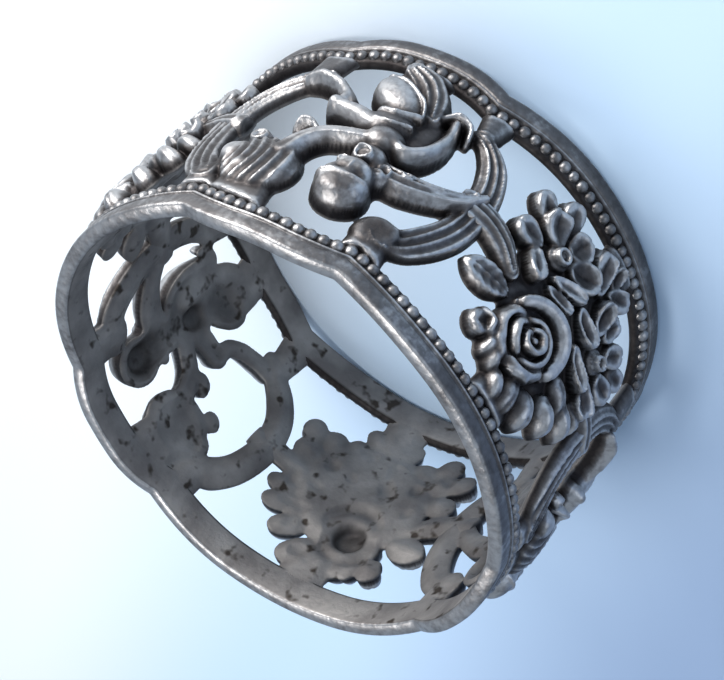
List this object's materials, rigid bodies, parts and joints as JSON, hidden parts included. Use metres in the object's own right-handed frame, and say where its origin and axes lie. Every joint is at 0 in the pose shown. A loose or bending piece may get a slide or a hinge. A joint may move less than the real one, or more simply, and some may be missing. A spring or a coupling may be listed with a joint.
{
  "type": "napkin ring",
  "caption": "Short open cylinder with shaped beaded borders and a pierced relief wall of winged children in scrolls between rose bouquets.",
  "frame": {"origin": "centre of the ring's footprint, on the plane it stands on", "axes": "+Z along the ring's axis, from the border it stands on to the upper one; +X through the middle of a figure panel"},
  "size_m": [0.0492, 0.0474, 0.0275],
  "materials": {
    "silver": "oxidised silver, dark in the recesses and worn bright on the high places"
  },
  "bodies": {
    "root": {"napkin_ring": "silver"}
  },
  "joints": []
}
